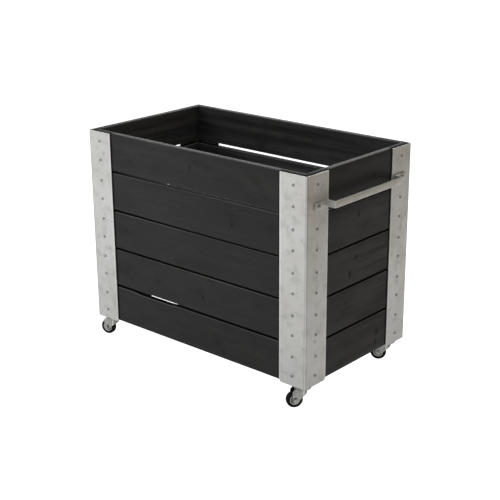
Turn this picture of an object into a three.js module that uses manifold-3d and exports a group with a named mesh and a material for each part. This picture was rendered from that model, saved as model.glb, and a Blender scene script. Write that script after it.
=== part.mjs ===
// Rolling planter: an open timber tub with sheet-steel corner posts, a pull handle on one end
// and a swivel caster under each corner.
//
// Millimetres, +Z up. The long front wall faces -Y and the handle is on the +X end.
// The origin is on the floor, under the middle of the whole object.

import * as THREE from 'three';
import { mergeVertices } from 'three/addons/utils/BufferGeometryUtils.js';
import Module from 'manifold-3d';

// ---------------------------------------------------------------- driving dimensions

// Tub, over the outer faces of its posts
const TUB_LENGTH = 870;
const TUB_WIDTH = 495;

// Clearances
const FIT_GAP = 0.3; // between fixed neighbours
const RUN_GAP = 0.5; // between pieces that turn against each other
const CUT_REACH = 1; // how far a cutting shape goes past the face that it opens
const MERGE_DISTANCE = 1e-4; // corners closer than this are one

// Planks of the four walls
const PLANK_ROWS = 5;
const PLANK_HEIGHT = 118;
const PLANK_THICKNESS = 20;
const PLANK_JOINT = 8; // open joint between two planks
const PLANK_EASE = 2; // chamfer along the long edges

// Bottom of the tub
const LEDGER_SIZE = 25;
const LEDGER_RISE = 4; // above the lowest joint of the wall
const SLAT_COUNT = 7;
const SLAT_THICKNESS = 20;
const SLAT_JOINT = 6;

// Corner posts
const SHEET = 2.5;
const POST_FLANGE = 95;
const POST_BEND_INSIDE = 1.5;
const POST_FOOT_ROUND = 9;
const POST_TOP_DROP = 2; // post's top below the top plank
const POST_FOOT_DROP = 4.5; // post's foot below the bottom plank
const FOOT_PLATE_MARGIN = 5; // foot plate's edge inside the flange's edge
const FOOT_PLATE_CORNER = 25; // cut across the foot plate's inner corner

// Screws that hold the posts to the planks, two in each plank
const SCREW_SPREAD = 60;
const SCREW_HEAD = { radius: 4.5, crown: 3.2, height: 2, sides: 8 };

// Handle, a bent flat bar
const HANDLE_REACH = 32; // outer face of the bar from the post's outer face
const HANDLE_BAR = { height: 20, thickness: 4, bendInside: 2 };
const HANDLE_TAB_END = 32; // tab's end from the tub's corner
const HANDLE_ARM = 86; // arm's outer face from the tub's corner
const HANDLE_SCREW = { radius: 3, headRadius: 5.5, headHeight: 3, depthInPlank: 14 };
const HANDLE_ROW = 1; // screw row, counted from the top, that holds the handle

// Casters
const WHEEL_RADIUS = 25;
const WHEEL_WIDTH = 18;
const WHEEL_TRAIL = 25; // axle behind the swivel axis
const WHEEL_HEADROOM = 8; // under the fork's yoke
const TYRE_DEPTH = 9;
const TYRE_SHOULDER = 4;
const HUB = { radius: 8, overhang: 1.5, webHalf: 3, rimWall: 2.5, recess: 1 };
const AXLE_RADIUS = 4;
const AXLE_HEX = { radius: 6.5, height: 4, tail: 1.5 };
const FORK_SHEET = 2.5;
const FORK_BOSS = 9;
const FORK_SHOULDER = 6; // height of the cheek's slanted back corner
const CROWN_RADIUS = 26;
const CROWN_HEIGHT = 6;
const RACE_HEIGHT = 7;
const RACE_TAPER = 2;
const KINGPIN_RADIUS = 5;
const KINGPIN_HEAD = { radius: 8, height: 2.5, chamfer: 1 };
const CASTER_PLATE = { size: 60, thickness: 2.5, corner: 5, margin: 4 };
const CASTER_BOLT = { spacing: 46, radius: 5, height: 3 };

// Rest direction of each caster: the way its wheel trails, turned from -X towards -Y, in degrees
const CORNERS = [
  { name: 'front_left', x: -1, y: -1, turn: 0, trail: 14 },
  { name: 'front_right', x: 1, y: -1, turn: 90, trail: 56 },
  { name: 'back_right', x: 1, y: 1, turn: 180, trail: 32 },
  { name: 'back_left', x: -1, y: 1, turn: 270, trail: -56 },
];

// Roundness
const WHEEL_SIDES = 30;
const TURNED_SIDES = 24;
const HOLE_SIDES = 12;
const HEX_SIDES = 6;
const ARC_STEPS = 5;
const SHOULDER_STEPS = 3;

// ---------------------------------------------------------------- worked-out places

const casterHeight = 2 * WHEEL_RADIUS + WHEEL_HEADROOM + CROWN_HEIGHT + RUN_GAP + RACE_HEIGHT
  + CASTER_PLATE.thickness;
const wallBottom = casterHeight + SHEET + FIT_GAP;
const plankPitch = PLANK_HEIGHT + PLANK_JOINT;
const wallHeight = PLANK_ROWS * plankPitch - PLANK_JOINT;
const wallTop = wallBottom + wallHeight;
const postBottom = wallBottom - POST_FOOT_DROP;
const postTop = wallTop - POST_TOP_DROP;

// Faces of the walls, as half sizes from the tub's middle
const wallOuter = { x: TUB_LENGTH / 2 - SHEET - FIT_GAP, y: TUB_WIDTH / 2 - SHEET - FIT_GAP };
const wallInner = { x: wallOuter.x - PLANK_THICKNESS, y: wallOuter.y - PLANK_THICKNESS };

// The screw pattern is centred on the post
const screwShift = (postTop + postBottom) / 2 - (wallTop + wallBottom) / 2;
const screwHeights = plankMiddles().flatMap(
  (middle) => [middle + screwShift + SCREW_SPREAD / 2, middle + screwShift - SCREW_SPREAD / 2],
);
const handleHeight = screwHeights[HANDLE_ROW];

const casterInset = SHEET + CASTER_PLATE.margin + CASTER_PLATE.size / 2;
const hubHalf = WHEEL_WIDTH / 2 + HUB.overhang;
const cheekInner = hubHalf + RUN_GAP;
const cheekOuter = cheekInner + FORK_SHEET;
const crownBottom = 2 * WHEEL_RADIUS + WHEEL_HEADROOM;
const crownTop = crownBottom + CROWN_HEIGHT;
const raceBottom = crownTop + RUN_GAP;
const casterPlateBottom = raceBottom + RACE_HEIGHT;

function plankMiddles() {
  const middles = [];
  for (let row = 0; row < PLANK_ROWS; row += 1) {
    middles.push(wallTop - PLANK_HEIGHT / 2 - row * plankPitch);
  }
  return middles;
}

// ---------------------------------------------------------------- materials

const wood = new THREE.MeshStandardMaterial({ color: 0x2e2d2c, roughness: 0.8, metalness: 0 });
const galvanised = new THREE.MeshStandardMaterial({ color: 0xb4b5b2, roughness: 0.45, metalness: 0.7 });
const zinc = new THREE.MeshStandardMaterial({ color: 0xa6a7a2, roughness: 0.4, metalness: 0.8 });
const greyPlastic = new THREE.MeshStandardMaterial({ color: 0x8c8d8b, roughness: 0.55, metalness: 0 });
const rubber = new THREE.MeshStandardMaterial({ color: 0x151515, roughness: 0.75, metalness: 0 });

// ---------------------------------------------------------------- solids

const wasm = await Module();
wasm.setup();

// A closed geometry as a solid that can be cut and joined
function toSolid(geometry) {
  const bare = geometry.clone();
  bare.deleteAttribute('normal');
  bare.deleteAttribute('uv');
  const merged = mergeVertices(bare, MERGE_DISTANCE);
  const corners = merged.index.array;
  const triangles = [];
  for (let i = 0; i < corners.length; i += 3) {
    const [a, b, c] = [corners[i], corners[i + 1], corners[i + 2]];
    if (a !== b && b !== c && c !== a) triangles.push(a, b, c);
  }
  return new wasm.Manifold(new wasm.Mesh({
    numProp: 3,
    vertProperties: new Float32Array(merged.attributes.position.array),
    triVerts: new Uint32Array(triangles),
  }));
}

function toGeometry(solid) {
  const mesh = solid.getMesh();
  const geometry = new THREE.BufferGeometry();
  geometry.setAttribute('position', new THREE.BufferAttribute(mesh.vertProperties, 3));
  geometry.setIndex(new THREE.BufferAttribute(mesh.triVerts, 1));
  geometry.computeVertexNormals();
  return geometry;
}

// The first geometry with others joined to it and others cut from it
function carve(base, joined, cuts) {
  let solid = toSolid(base);
  for (const geometry of joined) solid = solid.add(toSolid(geometry));
  for (const geometry of cuts) solid = solid.subtract(toSolid(geometry));
  return toGeometry(solid);
}

function prism(points, depth) {
  return new THREE.ExtrudeGeometry(new THREE.Shape(points), { depth, bevelEnabled: false });
}

// A prism whose outline is drawn in X and Z, and whose depth runs along +Y
function uprightPrism(points, depth) {
  return prism(points, depth).rotateX(Math.PI / 2).translate(0, depth, 0);
}

// A cylinder along Z whose flats touch the radius
function rod(radius, bottom, top, sides) {
  const corner = radius / Math.cos(Math.PI / sides);
  const geometry = new THREE.CylinderGeometry(corner, corner, top - bottom, sides);
  return geometry.rotateX(Math.PI / 2).translate(0, 0, (top + bottom) / 2);
}

// A solid of revolution about Z; the profile is given as [radius, height] pairs
function turned(profile, sides) {
  const points = profile.map(([radius, height]) => new THREE.Vector2(radius, height));
  return new THREE.LatheGeometry(points, sides).rotateX(Math.PI / 2);
}

function arcPoints(x, y, radius, from, to, steps = ARC_STEPS) {
  const points = [];
  for (let step = 0; step <= steps; step += 1) {
    const angle = from + ((to - from) * step) / steps;
    points.push(new THREE.Vector2(x + radius * Math.cos(angle), y + radius * Math.sin(angle)));
  }
  return points;
}

// The outline of a strip of even thickness that follows a line of points, bent at each corner
function bentStrip(line, thickness, bendInside) {
  const half = thickness / 2;
  const bend = bendInside + half;
  const left = [];
  const right = [];
  const addPair = (point, normal) => {
    left.push(point.clone().addScaledVector(normal, half));
    right.unshift(point.clone().addScaledVector(normal, -half));
  };
  const leftNormal = (from, to) => {
    const along = to.clone().sub(from).normalize();
    return new THREE.Vector2(-along.y, along.x);
  };
  addPair(line[0], leftNormal(line[0], line[1]));
  for (let i = 1; i < line.length - 1; i += 1) {
    const normal = leftNormal(line[i - 1], line[i]);
    const nextNormal = leftNormal(line[i], line[i + 1]);
    const turn = Math.atan2(normal.cross(nextNormal), normal.dot(nextNormal));
    const side = Math.sign(turn);
    const middle = line[i].clone().addScaledVector(normal, side * bend);
    const setBack = bend * Math.tan(Math.abs(turn) / 2);
    middle.addScaledVector(new THREE.Vector2(normal.y, -normal.x), -setBack);
    for (let step = 0; step <= ARC_STEPS; step += 1) {
      const spun = normal.clone().rotateAround(new THREE.Vector2(), (turn * step) / ARC_STEPS);
      addPair(middle.clone().addScaledVector(spun, -side * bend), spun);
    }
  }
  const end = line.length - 1;
  addPair(line[end], leftNormal(line[end - 1], line[end]));
  return left.concat(right);
}

// ---------------------------------------------------------------- model

const model = new THREE.Group();

function addMesh(name, geometry, material, parent = model) {
  const mesh = new THREE.Mesh(geometry, material);
  mesh.name = name;
  parent.add(mesh);
  return mesh;
}

// ---------------------------------------------------------------- planks

// A plank along X, its middle at the origin, its outer face on the side of -Y
function plankGeometry(length) {
  const t = PLANK_THICKNESS / 2;
  const h = PLANK_HEIGHT / 2;
  const e = PLANK_EASE;
  const section = [
    [t - e, -h], [t, -h + e], [t, h - e], [t - e, h],
    [-t + e, h], [-t, h - e], [-t, -h + e], [-t + e, -h],
  ].map(([y, z]) => new THREE.Vector2(z, y));
  return prism(section, length).rotateY(-Math.PI / 2).translate(length / 2, 0, 0);
}

// Blind holes for the handle's screws, in a plank that lies along X
function handlePilots() {
  const along = TUB_WIDTH / 2 - POST_FLANGE / 2;
  const bottom = -PLANK_THICKNESS / 2 - CUT_REACH;
  const top = -PLANK_THICKNESS / 2 + HANDLE_SCREW.depthInPlank + FIT_GAP;
  return [-along, along].map((x) => rod(HANDLE_SCREW.radius + FIT_GAP, bottom, top, HOLE_SIDES)
    .rotateX(-Math.PI / 2)
    .translate(x, 0, handleHeight - plankMiddles()[0]));
}

function addWall(side, length, offset, turn) {
  plankMiddles().forEach((middle, row) => {
    const plain = plankGeometry(length);
    const holdsHandle = side === 'right' && row === 0;
    const geometry = holdsHandle ? carve(plain, [], handlePilots()) : plain;
    const mesh = addMesh(`plank_${side}_${row + 1}`, geometry, wood);
    mesh.rotation.z = turn;
    mesh.position.set(offset * Math.sin(turn), -offset * Math.cos(turn), middle);
  });
}

function addWalls() {
  const longPlank = 2 * (wallOuter.x - POST_BEND_INSIDE);
  const shortPlank = 2 * (wallInner.y - FIT_GAP);
  const toMiddle = PLANK_THICKNESS / 2;
  addWall('front', longPlank, wallOuter.y - toMiddle, 0);
  addWall('right', shortPlank, wallOuter.x - toMiddle, Math.PI / 2);
  addWall('back', longPlank, wallOuter.y - toMiddle, Math.PI);
  addWall('left', shortPlank, wallOuter.x - toMiddle, -Math.PI / 2);
}

// ---------------------------------------------------------------- bottom

const ledgerBottom = wallBottom + plankPitch + LEDGER_RISE;
const slatBottom = ledgerBottom + LEDGER_SIZE + FIT_GAP;

function addLedgers() {
  const length = 2 * (wallInner.x - FIT_GAP);
  const y = wallInner.y - FIT_GAP - LEDGER_SIZE / 2;
  for (const [name, side] of [['ledger_front', -1], ['ledger_back', 1]]) {
    const mesh = addMesh(name, new THREE.BoxGeometry(length, LEDGER_SIZE, LEDGER_SIZE), wood);
    mesh.position.set(0, side * y, ledgerBottom + LEDGER_SIZE / 2);
  }
}

function addSlats() {
  const innerLength = 2 * wallInner.x;
  const slatPitch = (innerLength - SLAT_JOINT) / SLAT_COUNT;
  const width = slatPitch - SLAT_JOINT;
  const length = 2 * (wallInner.y - FIT_GAP);
  for (let i = 0; i < SLAT_COUNT; i += 1) {
    const mesh = addMesh(`floor_slat_${i + 1}`, new THREE.BoxGeometry(width, length, SLAT_THICKNESS), wood);
    const x = -innerLength / 2 + SLAT_JOINT / 2 + (i + 0.5) * slatPitch;
    mesh.position.set(x, 0, slatBottom + SLAT_THICKNESS / 2);
  }
}

// ---------------------------------------------------------------- corner posts

// A flange's face seen square on: edge at the corner, and a rounded foot at the free edge
function flangeOutline() {
  const round = POST_FOOT_ROUND;
  return [
    new THREE.Vector2(-CUT_REACH, postTop),
    new THREE.Vector2(-CUT_REACH, postBottom),
    ...arcPoints(POST_FLANGE - round, postBottom + round, round, -Math.PI / 2, 0),
    new THREE.Vector2(POST_FLANGE, postTop),
  ];
}

// A screw head that stands out on the side of -Y
function screwHead() {
  const { radius, crown, height, sides } = SCREW_HEAD;
  return new THREE.CylinderGeometry(radius, crown, height + SHEET / 2, sides)
    .translate(0, (SHEET / 2 - height) / 2, 0);
}

function handleHole() {
  return rod(HANDLE_SCREW.radius + FIT_GAP, -CUT_REACH, SHEET + CUT_REACH, HOLE_SIDES)
    .rotateX(-Math.PI / 2);
}

// Moves a head or a hole, made facing -Y, onto the middle line of one flange
function ontoFlange(geometry, flange, height) {
  return flange === 'x'
    ? geometry.translate(POST_FLANGE / 2, 0, height)
    : geometry.rotateZ(-Math.PI / 2).translate(0, POST_FLANGE / 2, height);
}

function footPlate() {
  const inner = SHEET / 2;
  const outer = POST_FLANGE - FOOT_PLATE_MARGIN;
  const cut = outer - FOOT_PLATE_CORNER;
  const outline = [[inner, inner], [outer, inner], [outer, cut], [cut, outer], [inner, outer]];
  return prism(outline.map(([x, y]) => new THREE.Vector2(x, y)), SHEET)
    .translate(0, 0, casterHeight);
}

// A post whose corner is at the origin, with its flanges along +X and +Y
function postGeometry(handleFlange) {
  const middle = SHEET / 2;
  const line = [[POST_FLANGE, middle], [middle, middle], [middle, POST_FLANGE]]
    .map(([x, y]) => new THREE.Vector2(x, y));
  const bent = prism(bentStrip(line, SHEET, POST_BEND_INSIDE), postTop - postBottom)
    .translate(0, 0, postBottom);
  const faceX = uprightPrism(flangeOutline(), POST_FLANGE);
  const faceY = uprightPrism(flangeOutline(), POST_FLANGE)
    .rotateZ(Math.PI / 2)
    .translate(POST_FLANGE, 0, 0);
  const angle = toSolid(bent).intersect(toSolid(faceX)).intersect(toSolid(faceY));

  const joined = [footPlate()];
  const cuts = [];
  screwHeights.forEach((height, row) => {
    for (const flange of ['x', 'y']) {
      if (row === HANDLE_ROW && flange === handleFlange) {
        cuts.push(ontoFlange(handleHole(), flange, height));
      } else {
        joined.push(ontoFlange(screwHead(), flange, height));
      }
    }
  });
  return carve(toGeometry(angle), joined, cuts);
}

const HANDLE_FLANGE = { front_right: 'x', back_right: 'y' };

function addPosts() {
  for (const corner of CORNERS) {
    const geometry = postGeometry(HANDLE_FLANGE[corner.name]);
    const mesh = addMesh(`post_${corner.name}`, geometry, galvanised);
    mesh.rotation.z = THREE.MathUtils.degToRad(corner.turn);
    mesh.position.set((corner.x * TUB_LENGTH) / 2, (corner.y * TUB_WIDTH) / 2, 0);
  }
}

// ---------------------------------------------------------------- handle

// The handle seen from above, with the post's outer face on X = 0
function handleOutline() {
  const half = HANDLE_BAR.thickness / 2;
  const tab = FIT_GAP + half;
  const bar = HANDLE_REACH - half;
  const end = TUB_WIDTH / 2 - HANDLE_TAB_END;
  const arm = TUB_WIDTH / 2 - HANDLE_ARM - half;
  const line = [[tab, -end], [tab, -arm], [bar, -arm], [bar, arm], [tab, arm], [tab, end]]
    .map(([x, y]) => new THREE.Vector2(x, y));
  return bentStrip(line, HANDLE_BAR.thickness, HANDLE_BAR.bendInside);
}

function addHandle() {
  const bar = prism(handleOutline(), HANDLE_BAR.height).translate(0, 0, -HANDLE_BAR.height / 2);
  const screwY = TUB_WIDTH / 2 - POST_FLANGE / 2;
  const holes = [-screwY, screwY].map((y) => rod(
    HANDLE_SCREW.radius + FIT_GAP,
    -CUT_REACH,
    FIT_GAP + HANDLE_BAR.thickness + CUT_REACH,
    HOLE_SIDES,
  ).rotateY(Math.PI / 2).translate(0, y, 0));
  const postFace = TUB_LENGTH / 2;
  addMesh('handle', carve(bar, [], holes), galvanised).position.set(postFace, 0, handleHeight);

  for (const [name, side] of [['handle_screw_front', -1], ['handle_screw_back', 1]]) {
    addMesh(name, handleScrewGeometry(), zinc).position.set(postFace, side * screwY, handleHeight);
  }
}

// A round-headed screw along X; the post's outer face is on X = 0 and the head is on the +X side
function handleScrewGeometry() {
  const { radius, headRadius, headHeight, depthInPlank } = HANDLE_SCREW;
  const seat = 2 * FIT_GAP + HANDLE_BAR.thickness;
  const tip = -SHEET - FIT_GAP - depthInPlank;
  return turned([
    [0, tip],
    [radius, tip + radius / 2],
    [radius, seat],
    [headRadius, seat],
    [headRadius, seat + headHeight / 3],
    [headRadius / 2, seat + headHeight],
    [0, seat + headHeight],
  ], HOLE_SIDES).rotateY(Math.PI / 2);
}

// ---------------------------------------------------------------- casters

// Top plate with the upper race, the kingpin and the heads of its four bolts
function casterPlateGeometry() {
  const { size, thickness, corner } = CASTER_PLATE;
  const straight = size / 2 - corner;
  const outline = [0, 1, 2, 3].flatMap((quarter) => {
    const from = (quarter * Math.PI) / 2;
    const x = straight * (quarter === 0 || quarter === 3 ? 1 : -1);
    const y = straight * (quarter < 2 ? 1 : -1);
    return arcPoints(x, y, corner, from, from + Math.PI / 2);
  });
  const plate = prism(outline, thickness).translate(0, 0, casterPlateBottom);
  const headTop = crownBottom - RUN_GAP;
  const headBottom = headTop - KINGPIN_HEAD.height;
  const race = turned([
    [0, headBottom],
    [KINGPIN_HEAD.radius - KINGPIN_HEAD.chamfer, headBottom],
    [KINGPIN_HEAD.radius, headBottom + KINGPIN_HEAD.chamfer],
    [KINGPIN_HEAD.radius, headTop],
    [KINGPIN_RADIUS, headTop],
    [KINGPIN_RADIUS, raceBottom],
    [CROWN_RADIUS - RACE_TAPER, raceBottom],
    [CROWN_RADIUS, casterPlateBottom],
    [CROWN_RADIUS - RACE_TAPER, casterPlateBottom + thickness / 2],
    [0, casterPlateBottom + thickness / 2],
  ], TURNED_SIDES);
  const bolts = [];
  for (const x of [-1, 1]) {
    for (const y of [-1, 1]) {
      bolts.push(rod(CASTER_BOLT.radius, -CASTER_BOLT.height, thickness / 2, HEX_SIDES).translate(
        (x * CASTER_BOLT.spacing) / 2,
        (y * CASTER_BOLT.spacing) / 2,
        casterPlateBottom,
      ));
    }
  }
  return carve(plate, [race, ...bolts], []);
}

// The fork seen from the side, in X and Z: deep at the crown, slanted back and down to the axle
function forkSide() {
  const top = crownBottom + FORK_SHEET;
  const front = -CROWN_RADIUS + RACE_TAPER;
  const toFront = new THREE.Vector2(front - WHEEL_TRAIL, crownBottom - WHEEL_RADIUS);
  const slant = Math.atan2(toFront.y, toFront.x) + Math.acos(FORK_BOSS / toFront.length());
  return [
    new THREE.Vector2(CROWN_RADIUS, top),
    new THREE.Vector2(front, top),
    new THREE.Vector2(front, crownBottom),
    ...arcPoints(WHEEL_TRAIL, WHEEL_RADIUS, FORK_BOSS, slant, 2 * Math.PI, 2 * ARC_STEPS),
    new THREE.Vector2(WHEEL_TRAIL + FORK_BOSS, crownBottom - FORK_SHOULDER),
  ];
}

// The fork's pressed sheet seen from above: two cheeks that meet in a round front
function forkPlan() {
  const back = WHEEL_TRAIL + FORK_BOSS + CUT_REACH;
  const steps = 2 * ARC_STEPS;
  return [
    new THREE.Vector2(back, cheekOuter),
    ...arcPoints(0, 0, cheekOuter, Math.PI / 2, 1.5 * Math.PI, steps),
    new THREE.Vector2(back, -cheekOuter),
    new THREE.Vector2(back, -cheekInner),
    ...arcPoints(0, 0, cheekInner, 1.5 * Math.PI, Math.PI / 2, steps),
    new THREE.Vector2(back, cheekInner),
  ];
}

// Fork: round crown, flat yoke between the cheeks, and the pressed cheeks bored for the axle
function forkGeometry() {
  const crown = turned([
    [KINGPIN_RADIUS + RUN_GAP, crownBottom],
    [CROWN_RADIUS - RACE_TAPER, crownBottom],
    [CROWN_RADIUS, crownBottom + RACE_TAPER],
    [CROWN_RADIUS, crownTop - RACE_TAPER],
    [CROWN_RADIUS - RACE_TAPER, crownTop],
    [KINGPIN_RADIUS + RUN_GAP, crownTop],
    [KINGPIN_RADIUS + RUN_GAP, crownBottom],
  ], TURNED_SIDES);
  const walls = prism(forkPlan(), crownBottom + FORK_SHEET);
  const side = uprightPrism(forkSide(), 2 * cheekOuter).translate(0, -cheekOuter, 0);
  const cheeks = toSolid(walls).intersect(toSolid(side));
  const yoke = new THREE.BoxGeometry(2 * (CROWN_RADIUS - RACE_TAPER), 2 * cheekInner, FORK_SHEET)
    .translate(0, 0, crownBottom + FORK_SHEET / 2);
  const axleBore = alongAxle(
    rod(AXLE_RADIUS + FIT_GAP, -cheekOuter - CUT_REACH, cheekOuter + CUT_REACH, HOLE_SIDES),
  );
  const pinBore = rod(
    KINGPIN_RADIUS + RUN_GAP,
    crownBottom - CUT_REACH,
    crownTop + CUT_REACH,
    TURNED_SIDES,
  );
  return carve(crown, [toGeometry(cheeks), yoke], [axleBore, pinBore]);
}

// Moves something made along Z onto the wheel's axle, with its +Z end on the +Y side
function alongAxle(geometry) {
  return geometry.rotateX(-Math.PI / 2).translate(WHEEL_TRAIL, 0, WHEEL_RADIUS);
}

// A solid of revolution about the axle, standing on a flat of its rim
function wheelTurned(profile) {
  const outward = 1 / Math.cos(Math.PI / WHEEL_SIDES);
  const points = profile.map(([radius, across]) => new THREE.Vector2(radius * outward, across));
  return new THREE.LatheGeometry(points, WHEEL_SIDES, Math.PI / WHEEL_SIDES)
    .translate(WHEEL_TRAIL, 0, WHEEL_RADIUS);
}

function wheelCoreGeometry() {
  const bore = AXLE_RADIUS + RUN_GAP;
  const rim = WHEEL_RADIUS - TYRE_DEPTH - FIT_GAP;
  const rimInner = rim - HUB.rimWall;
  const rimHalf = WHEEL_WIDTH / 2 - HUB.recess;
  return wheelTurned([
    [bore, -hubHalf],
    [HUB.radius, -hubHalf],
    [HUB.radius, -HUB.webHalf],
    [rimInner, -HUB.webHalf],
    [rimInner, -rimHalf],
    [rim, -rimHalf],
    [rim, rimHalf],
    [rimInner, rimHalf],
    [rimInner, HUB.webHalf],
    [HUB.radius, HUB.webHalf],
    [HUB.radius, hubHalf],
    [bore, hubHalf],
    [bore, -hubHalf],
  ]);
}

function tyreGeometry() {
  const inner = WHEEL_RADIUS - TYRE_DEPTH;
  const half = WHEEL_WIDTH / 2;
  const shoulder = (across, from, to) => arcPoints(
    WHEEL_RADIUS - TYRE_SHOULDER,
    across,
    TYRE_SHOULDER,
    from,
    to,
    SHOULDER_STEPS,
  ).map((point) => [point.x, point.y]);
  return wheelTurned([
    [inner, -half],
    ...shoulder(-half + TYRE_SHOULDER, -Math.PI / 2, 0),
    ...shoulder(half - TYRE_SHOULDER, 0, Math.PI / 2),
    [inner, half],
    [inner, -half],
  ]);
}

// Axle bolt: its head is outside the cheek on the +Y side, its thread ends past the nut
function axleGeometry() {
  const seat = cheekOuter + FIT_GAP;
  const tip = -seat - AXLE_HEX.height - AXLE_HEX.tail;
  const shank = rod(AXLE_RADIUS, tip, seat + AXLE_HEX.height / 2, HOLE_SIDES);
  const head = rod(AXLE_HEX.radius, seat, seat + AXLE_HEX.height, HEX_SIDES);
  return alongAxle(carve(head, [shank], []));
}

function nutGeometry() {
  const seat = cheekOuter + FIT_GAP;
  const bottom = -seat - AXLE_HEX.height;
  const nut = rod(AXLE_HEX.radius, bottom, -seat, HEX_SIDES);
  const bore = rod(AXLE_RADIUS + FIT_GAP, bottom - CUT_REACH, -seat + CUT_REACH, HOLE_SIDES);
  return alongAxle(carve(nut, [], [bore]));
}

function addCasters() {
  for (const corner of CORNERS) {
    const x = corner.x * (TUB_LENGTH / 2 - casterInset);
    const y = corner.y * (TUB_WIDTH / 2 - casterInset);
    addMesh(`caster_plate_${corner.name}`, casterPlateGeometry(), zinc).position.set(x, y, 0);

    const swivel = new THREE.Group();
    swivel.position.set(x, y, 0);
    swivel.rotation.z = Math.PI + THREE.MathUtils.degToRad(corner.trail);
    model.add(swivel);
    addMesh(`caster_fork_${corner.name}`, forkGeometry(), zinc, swivel);
    addMesh(`caster_axle_${corner.name}`, axleGeometry(), zinc, swivel);
    addMesh(`caster_nut_${corner.name}`, nutGeometry(), zinc, swivel);
    addMesh(`wheel_core_${corner.name}`, wheelCoreGeometry(), greyPlastic, swivel);
    addMesh(`wheel_tyre_${corner.name}`, tyreGeometry(), rubber, swivel);
  }
}

// ---------------------------------------------------------------- assembly

addWalls();
addLedgers();
addSlats();
addPosts();
addHandle();
addCasters();

// Built round the tub's middle; the origin is under the middle of the whole object's box
const middle = new THREE.Box3().setFromObject(model, true).getCenter(new THREE.Vector3());
model.position.set(-middle.x, -middle.y, 0);

export default model;
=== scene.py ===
"""Rolling planter: stained timber tub, galvanised corner posts, pull handle and four swivel casters.

Metres, +Z up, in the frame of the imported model. The long front wall faces -Y, the handle is on +X.
"""

import math
import random
from typing import Callable, NamedTuple

import bmesh
import bpy
from mathutils import Matrix, Vector, noise


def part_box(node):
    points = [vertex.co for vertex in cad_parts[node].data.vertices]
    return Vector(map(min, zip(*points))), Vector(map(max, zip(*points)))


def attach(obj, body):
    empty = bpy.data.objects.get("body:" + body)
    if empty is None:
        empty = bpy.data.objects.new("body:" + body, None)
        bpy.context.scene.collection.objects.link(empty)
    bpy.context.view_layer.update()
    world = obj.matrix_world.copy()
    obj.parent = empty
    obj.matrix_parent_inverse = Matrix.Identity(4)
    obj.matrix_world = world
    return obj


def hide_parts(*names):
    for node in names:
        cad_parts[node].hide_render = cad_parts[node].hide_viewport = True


MM = 0.001

# -------- sizes

# Planks
PLANK_ARRIS = 2.6 * MM  # radius of the rounded long edges
PLANK_END_EASE = 0.7 * MM
PLANK_STATION = 18 * MM  # distance between two sections of a plank
PLANK_CUP = 0.35 * MM  # hollow of a plank's face
PLANK_WAVER = 0.5 * MM  # how far a planed edge strays from straight
WAVERS_PER_METRE = 3.0
WAVER_SEED_STEP = 7.31  # distance in the noise between two edges
WAVER_PLANE = 0.4  # not a whole number, where the noise is nothing
ARRIS_STEPS = 4
FACE_STEPS = 6
BATTEN_ARRIS = 1.5 * MM
FLOOR_SLATS = 7

# How much wider joints are than in the frame, in millimetres: (wall, joint from the top): (start, end).
# A wall's planks run from left to right for someone who stands outside and looks at it.
WIDE_JOINTS = {
    ("front", 1): (-0.5, -2.8),
    ("front", 2): (-0.8, -3.2),
    ("front", 3): (-0.8, -2.6),
    ("front", 4): (0.2, -1.6),
    ("right", 1): (-1.6, -1.6),
    ("right", 2): (-1.6, -2.0),
    ("right", 3): (-1.8, -2.0),
    ("right", 4): (-2.2, -1.2),
    ("left", 1): (0.8, 0.8),
    ("back", 1): (3.0, 3.0),
}
# Where the edge under a joint falls away: from and to as shares of the wall, depth in millimetres
WANES = {("front", 4): (0.20, 0.42, 3.6)}
WANE_RUN_OUT = 0.035  # share of the wall over which a wane comes and goes

# Knots that show: plank: (along from its middle, up from its middle, radius)
KNOTS = {
    "plank_right_1": [(0.070, -0.007, 0.006)],
    "plank_right_2": [(-0.004, 0.022, 0.007)],
    "plank_right_3": [(-0.011, 0.022, 0.007), (-0.041, -0.024, 0.010)],
    "plank_right_4": [(-0.060, 0.018, 0.005)],
    "plank_right_5": [(0.104, 0.004, 0.011), (0.098, -0.030, 0.008)],
    "plank_back_1": [(0.110, 0.032, 0.013), (0.128, -0.02, 0.015), (-0.088, 0.024, 0.013)],
}
# Boards without knots in the list above draw theirs
LONG_BOARD = 0.6
KNOT_COUNTS_LONG = (0, 1, 1, 2, 3)
KNOT_COUNTS_SHORT = (0, 0, 1, 1)
KNOT_SPREAD = (0.45, 0.32)  # farthest from the middle, as shares of length and height
KNOT_RADII = (3.5 * MM, 8 * MM)
KNOT_SLOTS = 3
KNOT_SHAPE = (1.1, 0.65, 0)  # scale of distances along and up a board: a knot is taller than long
KNOT_FADE = (1.5, 0.4)  # in knot radii: where a knot starts to show, and where it shows in full
SWELL_FADE = (4.0, 0.8)  # the same for the grain that swells round it
NO_KNOT = (9.0, 9.0, 0.001)  # far outside any board

# How far the grain is moved from board to board
GRAIN_JUMP_ALONG = 40.0
GRAIN_JUMP_THROUGH = 20 * MM
GRAIN_JUMP_UP = 30 * MM

SHEET_SHADOW_LINE = 4 * MM  # painted shadow line on the planks beside a post's sheet
SHEET_SHADOW_REACH = 1.5 * SHEET_SHADOW_LINE  # takes in the first two sections beside the sheet
WORN_AND_LIT_SHARE = 0.8  # how much of an arris is lighter: abrasion and a painted highlight
PAINTED_SHADE_DEPTH = 0.25  # share of an arris that the painted shade of a joint reaches down
# (lighter arris from abrasion and a painted highlight, painted shade with a rougher finish) of a board's
# long edges
RIM = (0.27, 0.58)
JOINT_TOP = (1.0, 0.78)  # the edge that a joint lies on
JOINT_BOTTOM = (0.18, 1.0)
PLAIN_EDGE = (0.18, 0.0)

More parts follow.
